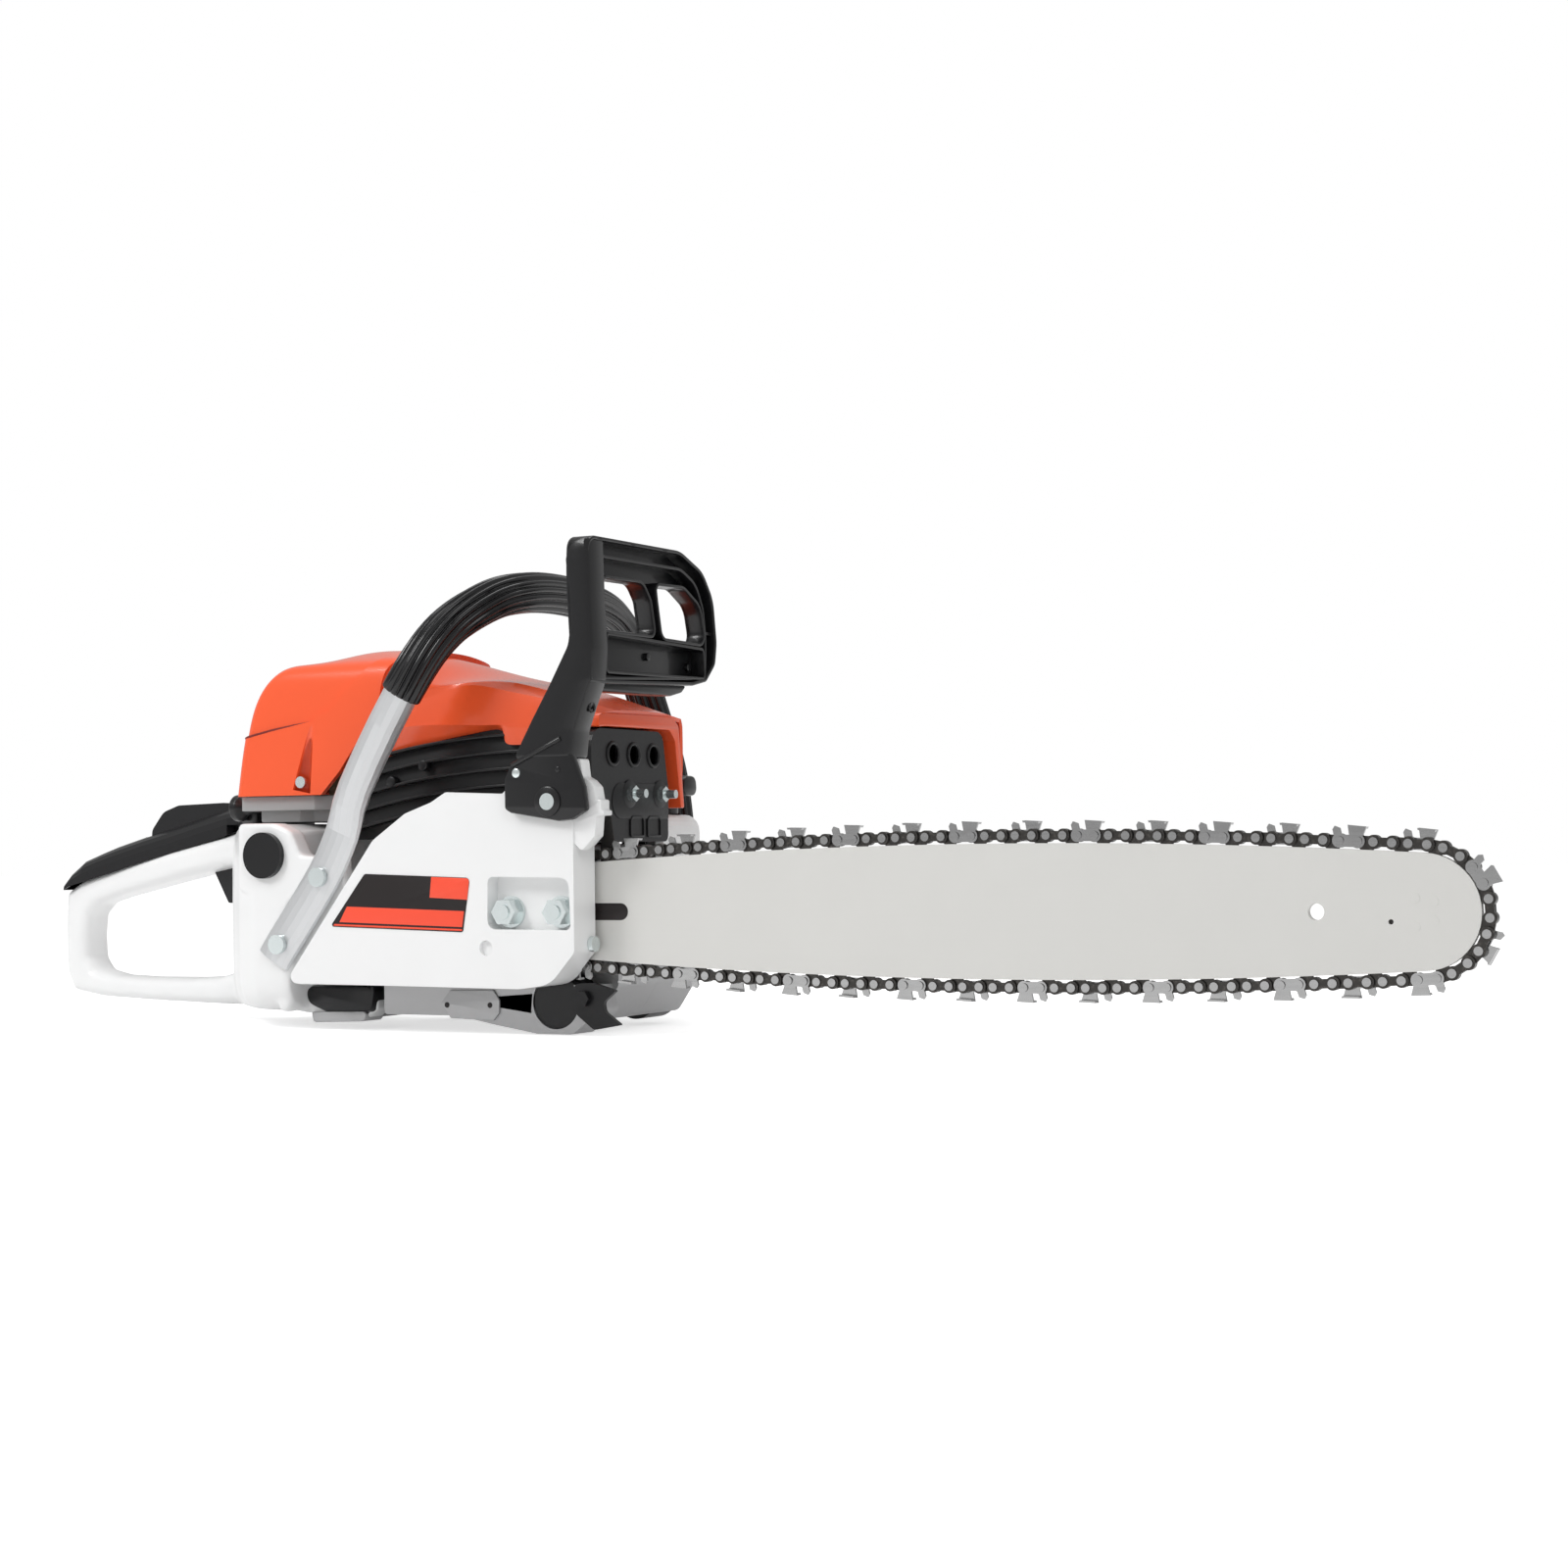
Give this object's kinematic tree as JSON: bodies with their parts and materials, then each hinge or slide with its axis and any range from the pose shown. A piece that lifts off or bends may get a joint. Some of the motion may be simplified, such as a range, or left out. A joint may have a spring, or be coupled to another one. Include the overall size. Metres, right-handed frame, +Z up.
{
  "type": "chainsaw",
  "caption": "Petrol chainsaw with a long guide bar and chain, a rear grip with throttle, a tubular front handle and a hinged hand guard.",
  "frame": {"origin": "centre of the rear end of the engine's flat foot under the left half of the crankcase, level with the ground it stands on, straight below the crankshaft's axis", "axes": "+X points forward along the guide bar to its tip, +Y to the operator's left (starter side), +Z up"},
  "size_m": [0.9115, 0.2353, 0.2684],
  "materials": {
    "orange_plastic": "glossy moulded cover",
    "white_plastic": "glossy moulded housing",
    "black_plastic": "satin black moulding",
    "grey_plastic": "matt grey moulding",
    "red_plastic": "glossy red moulding",
    "black_rubber": "matt black rubber",
    "tube_metal": "bare tube",
    "case_metal": "die-cast light metal",
    "machined_steel": "ground and turned steel",
    "zinc_steel": "zinc plated",
    "bar_steel": "ground bar steel",
    "chain_steel": "blued chain steel",
    "cutter_chrome": "hard chromed cutters",
    "black_metal": "heat-proof black paint",
    "dark_steel": "dull hardened steel",
    "piston_alloy": "cast and turned",
    "filter_felt": "pressed felt",
    "rope_cord": "braided cord",
    "label_print": "printed decal",
    "ceramic": "glazed insulator and plated steel"
  },
  "bodies": {
    "saw": {"crankcase_right": "case_metal", "crankcase_left": "case_metal", "crank_bearings": "machined_steel", "connecting_rod": "machined_steel", "rod_pins": "machined_steel", "piston": "piston_alloy", "engine_cylinder": "black_metal", "spark_plug": "ceramic", "plug_lead": "black_rubber", "ignition_coil": "black_plastic", "starter_housing": "white_plastic", "starter_rope": "rope_cord", "recoil_spring": "dark_steel", "muffler_body": "black_metal", "muffler_cover": "black_metal", "muffler_nuts": "zinc_steel", "intake_boot": "black_rubber", "carburetor": "tube_metal", "air_box": "grey_plastic", "air_filter": "filter_felt", "filter_cover": "orange_plastic", "cylinder_cover": "orange_plastic", "case_screws": "zinc_steel", "rear_handle": "white_plastic", "grip_cover": "black_plastic", "pivot_pins": "zinc_steel", "av_buffers": "black_rubber", "front_handle": "tube_metal", "handle_grip": "black_rubber", "handle_screws": "zinc_steel", "side_cover": "white_plastic", "cover_label": "label_print", "brake_band": "dark_steel", "oil_pump": "black_plastic", "inner_plate": "zinc_steel", "bar_studs": "zinc_steel", "bar_nuts": "zinc_steel", "tension_screw": "zinc_steel", "guide_bar": "bar_steel", "bar_rivets": "bar_steel", "drive_links": "chain_steel", "tie_straps": "chain_steel", "cutters": "cutter_chrome", "chain_rivets": "cutter_chrome", "bumper_spikes": "black_metal"},
    "crank": {"crankshaft": "machined_steel", "flywheel": "tube_metal", "clutch_hub": "dark_steel", "clutch_shoes": "dark_steel"},
    "drum": {"clutch_drum": "dark_steel"},
    "nose": {"nose_sprocket": "dark_steel"},
    "guard": {"hand_guard": "black_plastic"},
    "trigger": {"throttle_trigger": "black_plastic"},
    "lockout": {"lockout_lever": "black_plastic"},
    "choke": {"choke_knob": "black_plastic"},
    "switch": {"stop_switch": "red_plastic"},
    "tank_cap": {"fuel_cap": "black_plastic"},
    "oil_tank_cap": {"oil_cap": "black_plastic"},
    "pull_handle": {"starter_handle": "black_plastic"},
    "pulley": {"starter_pulley": "black_plastic"}
  },
  "joints": [
    {"name": "crank_spin", "type": "hinge", "parent": "saw", "child": "crank", "pos_m": [0, 0, 0.0675], "axis": [0, 1, 0], "continuous": true},
    {"name": "drum_spin", "type": "hinge", "parent": "saw", "child": "drum", "pos_m": [0, -0.067, 0.0675], "axis": [0, 1, 0], "continuous": true, "deforming": ["drive_links", "tie_straps", "cutters", "chain_rivets"]},
    {"name": "nose_spin", "type": "hinge", "parent": "saw", "child": "nose", "pos_m": [0.5475, -0.067, 0.0675], "axis": [0, 1, 0], "continuous": true},
    {"name": "guard_tilt", "type": "hinge", "parent": "saw", "child": "guard", "pos_m": [0.0879, -0.098, 0.1268], "axis": [0, 1, 0], "range_deg": [0, 18]},
    {"name": "trigger_pull", "type": "hinge", "parent": "saw", "child": "trigger", "pos_m": [-0.199, 0, 0.099], "axis": [0, 1, 0], "range_deg": [0, 20], "stiffness_Nm_per_rad": 0.15, "springref_deg": -5.73},
    {"name": "lockout_press", "type": "hinge", "parent": "saw", "child": "lockout", "pos_m": [-0.2, 0, 0.1185], "axis": [0, -1, 0], "range_deg": [0, 7], "stiffness_Nm_per_rad": 0.2, "springref_deg": -5.73},
    {"name": "choke_slide", "type": "slide", "parent": "saw", "child": "choke", "axis": [-1, 0, 0], "range_m": [0, 0.012]},
    {"name": "stop_slide", "type": "slide", "parent": "saw", "child": "switch", "axis": [0, 0, -1], "range_m": [0, 0.006]},
    {"name": "fuel_cap_turn", "type": "hinge", "parent": "saw", "child": "tank_cap", "pos_m": [-0.14, 0.06, 0.044], "axis": [0, 1, 0], "range_deg": [0, 90]},
    {"name": "oil_cap_turn", "type": "hinge", "parent": "saw", "child": "oil_tank_cap", "pos_m": [0.0865, 0.05, 0.036], "axis": [0, 1, 0], "range_deg": [0, 90]},
    {"name": "starter_pull", "type": "slide", "parent": "saw", "child": "pull_handle", "axis": [0, 0, 1], "range_m": [0, 0.7], "stiffness_N_per_m": 12, "springref_m": -0.6, "deforming": ["starter_rope"]},
    {"name": "pulley_turn", "type": "hinge", "parent": "saw", "child": "pulley", "pos_m": [0, 0.078, 0.0675], "axis": [0, -1, 0], "range_deg": [0, 1830], "deforming": ["recoil_spring"]}
  ],
  "couplings": [
    {"joint": "nose_spin", "follows": "drum_spin", "ratio": 0.58333},
    {"joint": "pulley_turn", "follows": "starter_pull", "rad_per_m": 45.455}
  ]
}
